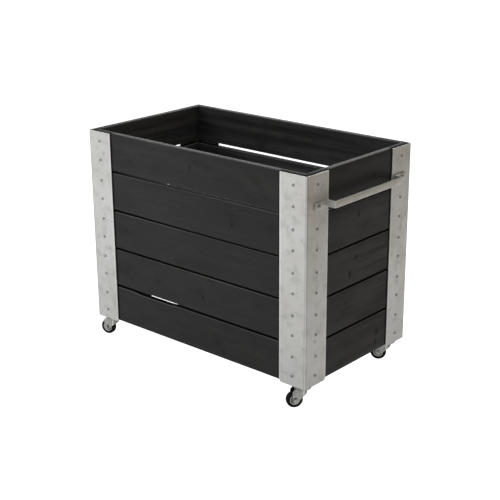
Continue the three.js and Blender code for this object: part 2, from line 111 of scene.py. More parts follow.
# Posts
SHEET = 2.5 * MM
BEND_OUTSIDE = 4 * MM
FOOT_ROUND = 9 * MM
FOOT_ROUND_ANGLES = range(0, 91, 15)
SHEET_EASE = 0.35 * MM
BEND_STEPS = 5
FLANGE_SHARES = (0.84, 0.68, 0.5, 0.34, 0.22)  # columns across a flange, from its free edge
POST_ROWS = 26
DIE_MARK = 12 * MM  # line left by the bending tool, from the corner
DIE_MARK_HALF = 1.2 * MM
DIE_MARK_DEPTH = 0.1 * MM
POST_BUCKLE = 0.15 * MM
POST_STIFF = 20 * MM  # nearer to the bend the sheet buckles less
BUCKLES_PER_METRE = (14, 5)  # across a flange and up it
BUCKLE_SIDE = {"x": 3.0, "y": 11.0}  # where in the noise each flange starts
POST_SEED_STEP = 2.3
# Painted light on the zinc: 1 is a painted highlight, -1 a painted dark line
BEND_HIGHLIGHT = 0.65  # the bend has a painted highlight up to here and a painted dark line beside it, in outer radii
BEND_DARK_LINE = 1.01
DARK_LINE_BESIDE_BEND = -0.8
EDGE_HIGHLIGHT_WIDTH = 5 * MM
EDGE_HIGHLIGHT = 0.8
FOOT_PLATE_INSET = 5 * MM
FOOT_PLATE_CORNER = 25 * MM
FOOT_PLATE_GAP = 0.02 * MM  # keeps it off the caster's plate

# Screws of the posts
HEAD_RADIUS = 4.5 * MM
HEAD_HEIGHT = 2 * MM
HEAD_SIDES = 24
# Outline of a head as shares of its radius and height
HEAD_PROFILE = ((0.9, 0), (1, 0.12), (1, 0.35), (0.88, 0.72), (0.66, 0.95))
# Its recess as shares of the recess's reach and the head's height, and how far the cross cuts in
RECESS_PROFILE = ((1.12, 1, 0.55), (1, 0.97, 0.6), (0.75, 0.4, 0.6), (0.2, 0.2, 0))
RECESS_REACH = 2.3 * MM
SCREW_SPREAD = 60 * MM
HANDLE_ROW = 1
HANDLE_FLANGES = {"front_right": "x", "back_right": "y"}

# Handle
BAR_EASE = 0.5 * MM
BAR_THICKNESS = 4 * MM
BAR_EASE_STEPS = 3
BAR_BEND_MIDDLE = 2.5 * MM  # radius of a bend, on the middle of the bar
BAR_BEND_STEPS = 8
ARM_FROM_TAB_END = 54 * MM
TAB_ROUND = 3 * MM
TAB_ANGLES = (0, 30, 60, 85)  # of the sections that round off the tab's end
HANDLE_RECESS_REACH = 3 * MM

# Casters. Profiles are (radius, height) pairs in millimetres, above the floor or, on the axle, from
# the wheel's middle; the nut's collar from the nut's seat.
TURNED_SIDES = 48
SMALL_SIDES = 32
HEXAGON = (0, 300, 5)  # an arc's angles and steps
PLATE_CORNER = 5 * MM
PLATE_CORNER_STEPS = 6
PLATE_EASE = 0.3 * MM
PLATE_BOLT = 23 * MM  # along both sides, from the plate's middle
PLATE_BOLT_HEAD = (5.7 * MM, 3 * MM)  # radius and height
PLATE_WASHER = (6.4 * MM, 0.8 * MM)
PLATE_WASHER_SIDES = 24
SUNK = 0.5 * MM  # how deep they go into the plate
RACE_PROFILE = (
    (0, 64.6), (21.5, 64.6), (23.2, 65.0), (24.4, 66.2), (24.6, 67.8),
    (23.4, 69.0), (22.6, 70.2), (22.8, 71.6), (0, 71.6),
)
KINGPIN_PROFILE = (
    (0, 55.0), (5.5, 55.0), (7.2, 55.5), (8, 56.4), (8, 57.5), (5, 57.5), (5, 65.0), (0, 65.0),
)
CROWN_PROFILE = (
    (5.5, 58), (21.5, 58), (23.6, 58.4), (25.4, 59.6), (26, 61.2),
    (25.6, 62.8), (24.6, 63.6), (23.2, 63.9), (21.4, 63.2), (19, 62.6), (5.5, 62.6),
)
CROWN_BOTTOM = 58 * MM
CROWN_RADIUS = 26 * MM
CROWN_LIP = 2 * MM
FORK_BOSS = 9 * MM
FORK_SHOULDER = 6 * MM  # height of the cheek's slanted back corner
FORK_EASE = 0.6 * MM
FORK_ROWS = 8
FORK_TURN_STEP = 12  # degrees between two columns of its round parts
CHEEK_SHARES = (0.75, 0.5, 0.25)  # columns between the boss and the swivel's axis
CHEEK_OUTER = 13.5 * MM
FORK_HIGHLIGHT_LINE = 1.5 * MM  # half the width of the painted highlight along the fork's bend
# painted shade on the fork's round front
FORK_FRONT_SHADE = -0.7
AXLE_SEAT = 13.8 * MM  # from the wheel's middle to where the bolt's head and the nut sit
AXLE_HEXAGON = 7.5 * MM
AXLE_HEAD_HEIGHT = 4 * MM
BOLT_EASE = 0.5 * MM
NUT_HEIGHT = 2.9 * MM
NUT_EASE = 0.3 * MM
SHANK_PROFILE = ((0, -19.3), (3.2, -19.3), (4, -18.4), (4, 15), (0, 15))
COLLAR_PROFILE = ((4.1, -4.0), (5.0, -4.0), (5.9, -3.6), (6.3, -2.8), (6.3, -2.5), (4.1, -2.5))
HUB_HALF_PROFILE = (
    (4.5, 10.5), (7.2, 10.5), (8.0, 9.9), (8.2, 4.6), (8.8, 3.4), (11.2, 3.0), (12.0, 3.8),
    (12.3, 7.2), (12.8, 8.1), (14.6, 8.3), (15.5, 7.7), (15.7, 6.6),
)
HUB_EASE = 0.15 * MM
HUB_RIBS = 6
RIB_FROM, RIB_TO = 7.8 * MM, 12.6 * MM
RIB_HALF_THICK = 0.8 * MM
RIB_HALF_WIDTH = 6.2 * MM
# The hub's dish, which gets painted shade
HUB_DISH = (8.1 * MM, 12.5 * MM)  # its inner and outer radius
HUB_DISH_Z = 7.3 * MM  # it lies nearer than this to the wheel's middle
TYRE_HALF_PROFILE = (
    (16.0, 8.9), (17.0, 9.0), (18.6, 8.6), (19.2, 8.5), (19.6, 8.7), (21.2, 8.95), (22.8, 8.5),
    (24.0, 7.3), (24.7, 5.4), (24.95, 3.0), (25.0, 0.6),
)
TYRE_SIDES = 64

# Floor, light and camera
FLOOR_RADIUS = 40
FLOOR_SIDES = 72
FLOOR_GLOW = 1.01  # just enough to make it white
WORLD_LIGHT = 0.42
# Softboxes: (place, aim, width, height, watts)
SOFTBOXES = {
    "key": ((-2.2, -3.0, 2.4), (0, 0, 0.4), 2.4, 2.0, 43),
    "top": ((0, 0.1, 3.2), (0, 0, 0.6), 1.4, 1.0, 38),
    "back": ((-2.3, 2.8, 2.3), (0, 0, 0.6), 3.0, 1.6, 60),
}
# A dim strip inside the tub, for the light that a real room sends in
FILL_ABOVE_SLATS = 20 * MM
FILL_AIM = (0, 0.001, 1.0)  # up; the small y keeps its length along X
FILL_SIZE = (0.5, 0.05)
FILL_WATTS = 1.5
# Cards, by their low and their high corner
END_CARD_X = 1.25
END_CARD = (-1.6, 0.12, 2.4, 1.75)  # in y and z
FLOOR_CARD = (-1.1, -0.9, 1.1, 0.9)
FLOOR_CARD_Z = 0.3 * MM
FLOOR_CARD_GLOW = 0.9
SHADE_CARD = (0.48, 0.22, *FLOOR_CARD[2:])
SHADE_CARD_Z = 0.6 * MM
SHADE_CARD_GLOW = 0.6
CAMERA_PLACE = (2.1757, -2.47, 1.48)
CAMERA_AZIMUTH = 41.30
CAMERA_ELEVATION = 19.23
CAMERA_ROLL = -0.37
SENSOR_WIDTH = 36
PHOTO_WIDTH = 500  # pixels
FOCAL_LENGTH = 1108.7  # pixels of the photo

# -------- frame

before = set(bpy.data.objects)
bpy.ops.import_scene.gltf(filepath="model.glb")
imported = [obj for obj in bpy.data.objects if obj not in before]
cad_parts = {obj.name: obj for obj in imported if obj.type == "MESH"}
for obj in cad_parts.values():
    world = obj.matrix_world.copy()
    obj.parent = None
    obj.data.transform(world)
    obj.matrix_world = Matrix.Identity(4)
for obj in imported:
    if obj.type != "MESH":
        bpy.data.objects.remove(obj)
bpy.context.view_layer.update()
rng = random.Random(7)

WALLS = {
    "front": Vector((0, -1, 0)),
    "right": Vector((1, 0, 0)),
    "back": Vector((0, 1, 0)),
    "left": Vector((-1, 0, 0)),
}
# Corner: (its side in x, its side in y, its post's turn in degrees)
CORNERS = {
    "front_left": (-1, -1, 0),
    "front_right": (1, -1, 90),
    "back_right": (1, 1, 180),
    "back_left": (-1, 1, 270),
}
ROWS = 5  # planks in a wall, counted from the top

# -------- meshes


class Shape:
    """Points and faces of one piece, gathered from simple forms."""

    def __init__(self):
        self.points = []
        self.faces = []

    def add(self, form, place=Matrix()):
        points, faces = form
        base = len(self.points)
        self.points += [place @ Vector(p) for p in points]
        self.faces += [[base + i for i in face] for face in faces]
        return self


def loft(rings, closed=False):
    """A skin over rings of equally many points: capped, or closed from the last to the first."""
    count = len(rings[0])
    points = [p for ring in rings for p in ring]
    faces = []
    for r in range(len(rings) if closed else len(rings) - 1):
        here, after = r * count, (r + 1) % len(rings) * count
        for i in range(count):
            j = (i + 1) % count
            faces.append([here + i, here + j, after + j, after + i])
    if not closed:
        faces.append(list(range(count))[::-1])
        faces.append([(len(rings) - 1) * count + i for i in range(count)])
    return points, faces


def turned(profile, sides=TURNED_SIDES, closed=False):
    """A solid of revolution about Z from (radius, height) pairs; closed joins its two ends."""
    angles = [2 * math.pi * i / sides for i in range(sides)]
    rings = [[(r * math.cos(a), r * math.sin(a), z) for a in angles] for r, z in profile]
    return loft(rings, closed)


def millimetres(profile, lift=0.0):
    """A profile given in millimetres, in metres and lifted."""
    return [(radius * MM, height * MM + lift) for radius, height in profile]


def prism(outline, bottom, top):
    return loft([[(x, y, z) for x, y in outline] for z in (bottom, top)])


def arc(x, y, radius, start, end, steps):
    """Points of an arc in a plane; the angles are in degrees."""
    points = []
    for i in range(steps + 1):
        angle = math.radians(start + (end - start) * i / steps)
        points.append((x + radius * math.cos(angle), y + radius * math.sin(angle)))
    return points


def rectangle(left, bottom, right, top):
    return [(left, bottom), (right, bottom), (right, top), (left, top)]


def rounded_box(width, height, radius, steps):
    """The outline of a rectangle about the origin with round corners."""
    outline = []
    for quarter, (sx, sy) in enumerate(((1, 1), (-1, 1), (-1, -1), (1, -1))):
        x, y = sx * (width / 2 - radius), sy * (height / 2 - radius)
        outline += arc(x, y, radius, 90 * quarter, 90 * quarter + 90, steps)
    return outline


def rotation(axis, degrees):
    return Matrix.Rotation(math.radians(degrees), 4, axis)


def add_object(name, data):
    made = bpy.data.objects.new(name, data)
    bpy.context.scene.collection.objects.link(made)
    return made


def make_piece(name, shape, material, body="tub", stands_for=(), ease=0, smooth=40):
    """A mesh object from a shape, its sharp edges eased, that rides on a body of the frame."""
    mesh = bpy.data.meshes.new(name)
    mesh.from_pydata(shape.points, [], shape.faces)
    bm = bmesh.new()
    bm.from_mesh(mesh)
    bmesh.ops.remove_doubles(bm, verts=bm.verts, dist=1e-7)
    bmesh.ops.recalc_face_normals(bm, faces=bm.faces)
    if ease:
        sharp = [e for e in bm.edges if e.is_manifold and e.calc_face_angle() > math.radians(30)]
        bmesh.ops.bevel(bm, geom=sharp, offset=ease, segments=2, profile=0.5,
                        affect="EDGES", clamp_overlap=True)
    bm.to_mesh(mesh)
    bm.free()
    mesh.shade_smooth()
    mesh.set_sharp_from_angle(angle=math.radians(smooth))
    mesh.materials.append(material)
    piece = add_object(name, mesh)
    if ease:
        piece.modifiers.new("even_shading", "WEIGHTED_NORMAL").keep_sharp = True
    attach(piece, body)
    if stands_for:
        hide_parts(*stands_for)
    return piece


def write_attribute(mesh, name, values):
    """One value, or one vector, for each point of a mesh."""
    if isinstance(values[0], float):
        mesh.attributes.new(name, "FLOAT", "POINT").data.foreach_set("value", values)
    else:
        flat = [part for vector in values for part in vector]
        mesh.attributes.new(name, "FLOAT_VECTOR", "POINT").data.foreach_set("vector", flat)


def mark_points(piece, name, place, value_at):
    """An attribute worked out from each point as it was before the shape moved to place."""
    back = place.inverted()
    values = [value_at(back @ vertex.co) for vertex in piece.data.vertices]
    write_attribute(piece.data, name, values)


# -------- materials


def rgb(red, green, blue):
    return (red, green, blue, 1.0)


def grey(level, blue=1.0):
    """A grey whose blue is a share of its level."""
    return rgb(level, level, level * blue)


class Look:
    """A material's node tree, with short calls for the nodes that the materials share."""

    def __init__(self, name, **surface):
        self.material = bpy.data.materials.new(name)
        self.material.use_nodes = True
        self.tree = self.material.node_tree
        self.shader = self.tree.nodes["Principled BSDF"]
        for socket, value in surface.items():
            self.shader.inputs[socket.replace("_", " ")].default_value = value

    def node(self, kind, inputs=(), **settings):
        made = self.tree.nodes.new(kind)
        for key, value in settings.items():
            setattr(made, key, value)
        for key, value in dict(inputs).items():
            self.feed(made.inputs[key], value)
        return made

    def feed(self, socket, value):
        if isinstance(value, bpy.types.NodeSocket):
            self.tree.links.new(value, socket)
        else:
            socket.default_value = value

    def place(self):
        return self.node("ShaderNodeTexCoord").outputs["Object"]

    def attribute(self, name, output="Vector"):
        return self.node("ShaderNodeAttribute", attribute_name=name).outputs[output]

    def stretch(self, vector, scale, shift=(0, 0, 0)):
        made = self.node("ShaderNodeMapping", {"Vector": vector, "Scale": scale, "Location": shift})
        return made.outputs["Vector"]

    def noise(self, vector, scale, detail=2.0, roughness=0.5, output="Fac"):
        made = self.node("ShaderNodeTexNoise", {
            "Vector": vector, "Scale": scale, "Detail": detail, "Roughness": roughness,
        })
        return made.outputs[output]

    def cells(self, vector, scale):
        return self.node("ShaderNodeTexVoronoi", {"Vector": vector, "Scale": scale}).outputs["Color"]

    def math(self, operation, a, b=0.0, c=0.0):
        made = self.node("ShaderNodeMath", {0: a, 1: b, 2: c}, operation=operation)
        return made.outputs[0]

    def span(self, value, low, high, to_low=0.0, to_high=1.0):
        made = self.node("ShaderNodeMapRange", {
            "Value": value, "From Min": low, "From Max": high, "To Min": to_low, "To Max": to_high,
        }, interpolation_type="SMOOTHSTEP")
        return made.outputs["Result"]

    def mix(self, factor, a, b):
        return self.node("ShaderNodeMix", {0: factor, 6: a, 7: b}, data_type="RGBA").outputs[2]

    def bump(self, height, distance, strength=1.0, normal=None):
        inputs = {"Height": height, "Distance": distance, "Strength": strength}
        if normal is not None:
            inputs["Normal"] = normal
        return self.node("ShaderNodeBump", inputs).outputs["Normal"]

    def painted_light(self, colour, amount):
        """A painted highlight where the attribute is 1, and painted shade where it is -1."""
        painted_light = self.attribute("painted_light", "Fac")
        colour = self.mix(self.span(painted_light, 0.0, 1.0, 0.0, amount), colour, rgb(0.78, 0.78, 0.77))
        return self.mix(self.span(painted_light, 0.0, -1.0, 0.0, amount), colour, rgb(0.22, 0.22, 0.21))

    def surface(self, colour, roughness, normal):
        for socket, value in (("Base Color", colour), ("Roughness", roughness), ("Normal", normal)):
            self.feed(self.shader.inputs[socket], value)
        return self.material


def knot_fields(look, grain):
    """How far each point lies inside a knot, and how much the grain swells round the knots."""
    inside, swell = 0.0, 0.0
    flat = look.stretch(grain, KNOT_SHAPE)
    for i in range(KNOT_SLOTS):
        knot = look.attribute(f"knot_{i}")
        centre = look.stretch(knot, KNOT_SHAPE)
        radius = look.node("ShaderNodeSeparateXYZ", {0: knot}).outputs["Z"]
        away = look.node("ShaderNodeVectorMath", {0: flat, 1: centre}, operation="DISTANCE")
        ratio = look.math("DIVIDE", away.outputs["Value"], radius)
        inside = look.math("MAXIMUM", inside, look.span(ratio, *KNOT_FADE))
        swell = look.math("MAXIMUM", swell, look.span(ratio, *SWELL_FADE))
    return inside, swell


def make_wood():
    """Planed softwood under a near-black stain: faint rings, streaks, knots, arrises lightened by
    abrasion and a painted highlight, and painted shade in the joints, beside the posts' sheets and on
    the rim.
    """
    look = Look("stained_wood", Specular_IOR_Level=0.20)
    grain = look.attribute("grain")
    inside, swell = knot_fields(look, grain)

    drift = look.noise(look.stretch(grain, (1.6, 9, 9)), 1.0)
    along = look.node("ShaderNodeSeparateXYZ", {0: grain})
    depth = look.math("MULTIPLY_ADD", drift, 0.05, along.outputs["Z"])
    depth = look.math("MULTIPLY_ADD", swell, 0.012, depth)
    height = look.math("MULTIPLY", along.outputs["Y"], along.outputs["Y"])
    radius = look.math("ADD", look.math("MULTIPLY", height, 4.0), depth)
    rings = look.math("SINE", look.math("MULTIPLY", radius, 1500.0))
    late_wood = look.span(rings, -0.2, 0.95)

    fibres = look.noise(look.stretch(grain, (14, 620, 620)), 1.0, 3.0, 0.6)
    streaks = look.noise(look.stretch(grain, (2.2, 60, 60)), 1.0, 3.0, 0.55)
    patches = look.noise(look.stretch(grain, (5, 14, 14), (3, 1, 5)), 1.0)
    smudges = look.noise(look.stretch(grain, (11, 26, 26), (7, 2, 3)), 1.0, 3.0, 0.6)

    black = rgb(0.0090, 0.0086, 0.0084)
    pale = rgb(0.0215, 0.0206, 0.0200)
    plum = rgb(0.0200, 0.0165, 0.0177)
    smudged = rgb(0.0055, 0.0053, 0.0052)
    ringed = rgb(0.0105, 0.0100, 0.0098)
    knotty = rgb(0.006, 0.0055, 0.0052)
    worn_and_lit = rgb(0.16, 0.153, 0.143)
    painted_shade_black = grey(0.005)
    # Lighter arrises: abrasion and a painted highlight, strongest on the edge under a joint
    wear_and_highlight = look.math("MULTIPLY", look.attribute("wear_and_highlight", "Fac"), look.span(streaks, 0.35, 0.75, 0.2, 0.8))
    dull_and_painted_shade = look.attribute("dull_and_painted_shade", "Fac")
    colour = look.mix(look.span(streaks, 0.3, 0.7), black, pale)
    colour = look.mix(look.span(patches, 0.5, 0.72, 0.0, 0.55), colour, plum)
    colour = look.mix(look.span(smudges, 0.52, 0.72, 0.0, 0.6), colour, smudged)
    colour = look.mix(look.math("MULTIPLY", late_wood, 0.28), colour, ringed)
    colour = look.mix(look.math("MULTIPLY", inside, 0.75), colour, knotty)
    colour = look.mix(wear_and_highlight, colour, worn_and_lit)
    # Painted shade: near-black in the joints, beside the posts' sheets and on the rim's top
    colour = look.mix(dull_and_painted_shade, colour, painted_shade_black)

    gloss = look.math("MULTIPLY_ADD", patches, 0.4, look.math("MULTIPLY", streaks, 0.6))
    rough = look.span(gloss, 0.38, 0.64, 0.42, 0.66)
    rough = look.math("MAXIMUM", rough, look.math("MAXIMUM", dull_and_painted_shade, look.math("MULTIPLY", inside, 0.72)))

    relief = look.math("MULTIPLY_ADD", late_wood, 0.5, look.math("MULTIPLY", fibres, 0.5))
    relief = look.math("MULTIPLY_ADD", inside, 1.2, relief)
    return look.surface(colour, rough, look.bump(relief, 0.00022, 0.5))


def make_galvanised():
    """Hot-dip zinc on sheet steel: soft spangle, cloudy patches and small dull stains, with a painted
    highlight on the bend and the free edges and a painted dark line beside the bend.
    """
    look = Look("galvanised_steel", Metallic=0.92)
    place = look.place()
    warped = look.node("ShaderNodeVectorMath", {
        0: place, 1: look.noise(place, 60.0, output="Color"), 2: (0.006, 0.006, 0.006),
    }, operation="MULTIPLY_ADD").outputs["Vector"]
    spangle = look.cells(warped, 95.0)
    fine = look.cells(warped, 260.0)
    shade = look.math("MULTIPLY_ADD", fine, 0.35, look.math("MULTIPLY", spangle, 0.65))
    clouds = look.noise(place, 9.0, 4.0, 0.6)
    blotches = look.noise(look.stretch(place, (1, 1, 1), (4, 2, 7)), 32.0, 3.0, 0.55)
    stains = look.noise(look.stretch(place, (1, 1, 0.8), (2, 5, 1)), 26.0, 5.0, 0.65)
    specks = look.noise(place, 150.0, 3.0, 0.7)

    dark, bright = rgb(0.50, 0.505, 0.495), rgb(0.62, 0.62, 0.605)
    cloudy = rgb(0.55, 0.54, 0.515)
    blotched = rgb(0.36, 0.365, 0.355)
    stained = rgb(0.26, 0.265, 0.255)
    specked = rgb(0.28, 0.28, 0.27)
    colour = look.mix(look.span(shade, 0.1, 0.9), dark, bright)
    colour = look.mix(look.span(clouds, 0.35, 0.7, 0.0, 0.7), colour, cloudy)
    colour = look.mix(look.span(blotches, 0.46, 0.72, 0.0, 0.45), colour, blotched)
    colour = look.mix(look.span(stains, 0.58, 0.74, 0.0, 0.55), colour, stained)
    colour = look.mix(look.span(specks, 0.60, 0.74, 0.0, 0.35), colour, specked)
    # Painted highlight on the bend and the free edges, painted dark line beside the bend
    colour = look.painted_light(colour, 0.42)
    rough = look.math("MULTIPLY_ADD", shade, 0.14, look.span(clouds, 0.3, 0.7, 0.40, 0.50))
    relief = look.bump(shade, 0.0002, 0.25, look.bump(clouds, 0.004, 0.2))
    return look.surface(colour, rough, relief)


def make_plated(name, dull_and_painted_shade, bright, roughness):
    """Zinc-plated steel, hazy and dulled in places, with the forks' painted highlight and painted shade;
    the two greys are its darker and its brighter zinc.
    """
    look = Look(name, Metallic=1.0)
    place = look.place()
    haze = look.noise(place, 130.0, 4.0, 0.6)
    grime_and_painted_shade = look.noise(place, 40.0, 3.0)
    colour = look.mix(look.span(haze, 0.3, 0.7), grey(dull_and_painted_shade, 0.95), grey(bright, 0.96))
    colour = look.mix(look.span(grime_and_painted_shade, 0.55, 0.75, 0.0, 0.5), colour, grey(dull_and_painted_shade / 2, 0.9))
    # Painted highlight and painted shade, on the pieces that carry them: the forks
    colour = look.painted_light(colour, 0.8)
    rough = look.span(haze, 0.3, 0.7, roughness, roughness + 0.14)
    return look.surface(colour, rough, look.bump(haze, 0.0002, 0.2))


def make_hub_plastic():
    """Pale grey moulded plastic, dusty, with painted shade in the hub's dish."""
    look = Look("hub_plastic")
    place = look.place()
    grain = look.noise(place, 900.0)
    dust = look.noise(place, 70.0, 4.0)
    clean, dusty, dish_shade_colour = rgb(0.74, 0.74, 0.73), rgb(0.62, 0.62, 0.61), rgb(0.05, 0.05, 0.047)
    colour = look.mix(look.span(dust, 0.35, 0.7), clean, dusty)
    # Painted shade in the hub's dish
    colour = look.mix(look.attribute("grime_and_painted_shade", "Fac"), colour, dish_shade_colour)
    rough = look.span(dust, 0.3, 0.7, 0.42, 0.58)
    return look.surface(colour, rough, look.bump(grain, 0.0001, 0.2))


def make_rubber():
    """Black rubber with a little dust."""
    look = Look("tyre_rubber", Specular_IOR_Level=0.18)
    place = look.place()
    dust = look.noise(place, 160.0, 4.0, 0.6)
    grain = look.noise(place, 1200.0)
    clean, dusty = grey(0.0035), rgb(0.010, 0.010, 0.0095)
    colour = look.mix(look.span(dust, 0.45, 0.75), clean, dusty)
    rough = look.span(dust, 0.3, 0.7, 0.6, 0.8)
    return look.surface(colour, rough, look.bump(grain, 0.0001, 0.3))


WOOD = make_wood()
GALVANISED = make_galvanised()
ZINC = make_plated("zinc", 0.30, 0.44, 0.20)
SCREW_STEEL = make_plated("screw_steel", 0.28, 0.38, 0.35)
# The upper race: greasy steel, painted darker still as shade under the plate
GREASY_SHADED_RACE = make_plated("greasy_shaded_race_steel", 0.06, 0.10, 0.35)
HUB_PLASTIC = make_hub_plastic()
RUBBER = make_rubber()

# -------- boards


def waver(seed, along):
    """How far a planed edge strays from straight, inwards only; it differs from edge to edge."""
    place = Vector((along * WAVERS_PER_METRE, seed * WAVER_SEED_STEP, WAVER_PLANE))
    return PLANK_WAVER * (1 + noise.noise(place)) / 2


def no_stray(_):
    return 0.0, 0.0


class Finish(NamedTuple):
    """What a board's long edges and faces are like."""
    arris: float
    cup: float = 0.0
    edges: Callable = no_stray  # (top stray, bottom stray) at a place along it
    covered: float = 0.0  # how far each end lies under a post's sheet
    top_edge: tuple = PLAIN_EDGE
    bottom_edge: tuple = PLAIN_EDGE


def board_section(half_thick, low, high, arris, cup):
    """One section of a board as (through, up) points, with the outer face first."""
    section = []
    for side, edge, start in ((1, low, -90), (1, high, 0), (-1, high, 90), (-1, low, 180)):
        up = edge + arris if edge == low else edge - arris
        section += arc(side * (half_thick - arris), up, arris, start, start + 90, ARRIS_STEPS)
        if start in (-90, 90):
            goal = high - arris if start == -90 else low + arris
            for step in range(1, FACE_STEPS):
                share = step / FACE_STEPS
                hollow = cup * math.sin(math.pi * share)
                section.append((side * (half_thick - hollow), up + (goal - up) * share))
    return section


def board_stops(length, covered):
    """Where a board has its sections: at its ends, beside the sheet over them, and evenly between."""
    marks = [length / 2, length / 2 - PLANK_END_EASE]
    if covered:
        marks += [length / 2 - covered - beyond for beyond in (0, SHEET_SHADOW_LINE, 2 * SHEET_SHADOW_LINE)]
    stations = max(2, round(length / PLANK_STATION))
    even = [length * (i / stations - 0.5) for i in range(1, stations)]
    free = [stop for stop in even if min(abs(abs(stop) - mark) for mark in marks) > SHEET_SHADOW_LINE]
    return sorted(free + marks + [-mark for mark in marks])


def board_form(length, half_thick, height, finish):
    """A board along X: (points, faces), the points' lighter arris (abrasion and painted highlight) and
    their painted shade.
    """
    rings, wear_and_highlight, dull_and_painted_shade = [], [], []
    for stop in board_stops(length, finish.covered):
        top_stray, bottom_stray = finish.edges(stop)
        low, high = bottom_stray - height / 2, height / 2 - top_stray
        inset = PLANK_END_EASE if abs(stop) > (length - PLANK_END_EASE) / 2 else 0
        section = board_section(half_thick - inset, low + inset, high - inset, finish.arris, finish.cup)
        rings.append([(stop, -through, up) for through, up in section])
        # The outer face beside a post's sheet gets a painted shadow
        beside = finish.covered and abs(stop) > length / 2 - finish.covered - SHEET_SHADOW_REACH
        for through, up in section:
            point_wear_and_highlight, point_painted_shade = edge_marks(half_thick - abs(through), high - up, up - low, finish)
            wear_and_highlight.append(point_wear_and_highlight)
            dull_and_painted_shade.append(1.0 if beside and through > 0 else point_painted_shade)
    return loft(rings), wear_and_highlight, dull_and_painted_shade


def edge_marks(near_face, below_top, above_bottom, finish):
    """A point's lighter arris (abrasion and painted highlight) and its painted shade, from how near it
    is to a face and to the long edges.
    """
    near_edge = min(below_top, above_bottom)
    wear_and_highlight, dull_and_painted_shade = finish.top_edge if below_top < above_bottom else finish.bottom_edge
    if max(near_edge, near_face) >= WORN_AND_LIT_SHARE * finish.arris:
        wear_and_highlight = 0.0
    return wear_and_highlight, dull_and_painted_shade * max(0.0, 1.0 - near_edge / (PAINTED_SHADE_DEPTH * finish.arris))


def joint_stray(wall, joint, share):
    """Extra width of a joint of the frame, at a share of the wall's length."""
    start, end = WIDE_JOINTS.get((wall, joint), (0.0, 0.0))
    wane_from, wane_to, depth = WANES.get((wall, joint), (0.0, 0.0, 0.0))
    inside = min(share - wane_from, wane_to - share) / WANE_RUN_OUT
    return (start + (end - start) * share + depth * min(1.0, max(0.0, inside))) * MM


def grain_shift(seed):
    """How far a board's grain is moved along it, up it and through it."""
    jump = random.Random(seed)
    along = jump.uniform(0, GRAIN_JUMP_ALONG)
    through = jump.uniform(-GRAIN_JUMP_THROUGH, GRAIN_JUMP_THROUGH)
    up = jump.uniform(-GRAIN_JUMP_UP, GRAIN_JUMP_UP)
    return along, up, through


def add_board(node, outward, finish):
    """A board in a node's place, its length across outward."""
    low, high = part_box(node)
    span = high - low
    length, thickness = max(span.x, span.y), min(span.x, span.y)
    sideways = Vector((0, 0, 1)).cross(outward)
    turn = Matrix((sideways, -outward, (0, 0, 1))).transposed().to_4x4()
    (points, faces), wear_and_highlight, dull_and_painted_shade = board_form(length, thickness / 2, span.z, finish)
    shape = Shape().add((points, faces), Matrix.Translation((low + high) / 2) @ turn)
    mesh = make_piece(f"board_{node}", shape, WOOD, stands_for=(node,), smooth=60).data
    along, up, through = grain_shift(node)
    grain = [(x + along, z + up, y + through) for x, y, z in points]
    write_attribute(mesh, "grain", grain)
    write_attribute(mesh, "wear_and_highlight", wear_and_highlight)
    write_attribute(mesh, "dull_and_painted_shade", dull_and_painted_shade)
    knots = KNOTS.get(node) or random_knots(node, length, span.z)
    for i in range(KNOT_SLOTS):
        knot_x, knot_z, radius = knots[i] if i < len(knots) else NO_KNOT
        value = (knot_x + along, knot_z + up, radius)
        write_attribute(mesh, f"knot_{i}", [value] * len(points))


def random_knots(name, length, height):
    """A few knots for a board: (along from its middle, up from its middle, radius)."""
    draw = random.Random("knots of " + name)
    count = draw.choice(KNOT_COUNTS_LONG if length > LONG_BOARD else KNOT_COUNTS_SHORT)
    knots = []
    for _ in range(count):
        along = draw.uniform(-KNOT_SPREAD[0], KNOT_SPREAD[0]) * length
        up = draw.uniform(-KNOT_SPREAD[1], KNOT_SPREAD[1]) * height
        knots.append((along, up, draw.uniform(*KNOT_RADII)))
    return knots


def plank_edges(wall, row, length):
    """The strays of a plank's long edges, as a function of the place along it."""
    seed = hash_of(wall) + row

    def edges(stop):
        top = waver(seed, stop)
        if row > 1:
            top += joint_stray(wall, row - 1, stop / length + 0.5)
        return top, waver(seed + 0.5, stop)

    return edges


def add_planks():
    for wall, outward in WALLS.items():
        for row in range(1, ROWS + 1):
            node = f"plank_{wall}_{row}"
            low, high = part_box(node)
            edges = plank_edges(wall, row, max(high.x - low.x, high.y - low.y))
            top_edge = JOINT_TOP if row > 1 else RIM
            bottom_edge = JOINT_BOTTOM if row < ROWS else PLAIN_EDGE
            covered = covered_end(node, outward)
            finish = Finish(PLANK_ARRIS, PLANK_CUP, edges, covered, top_edge, bottom_edge)
            add_board(node, outward, finish)


def covered_end(node, outward):
    """How far the posts' sheets reach over the ends of a plank."""
    low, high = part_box(node)
    axis = 0 if outward.y else 1
    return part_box("post_front_left")[1][axis] - low[axis]


def hash_of(word):
    """A small number that is the same for the same word on every run."""
    return sum(ord(letter) for letter in word) % 97


def add_battens():
    slats = [f"floor_slat_{number}" for number in range(1, FLOOR_SLATS + 1)]
    for node in ["ledger_front", "ledger_back"] + slats:
        low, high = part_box(node)
        outward = WALLS["front"] if high.x - low.x > high.y - low.y else WALLS["right"]
        add_board(node, outward, Finish(BATTEN_ARRIS))


# -------- corner posts


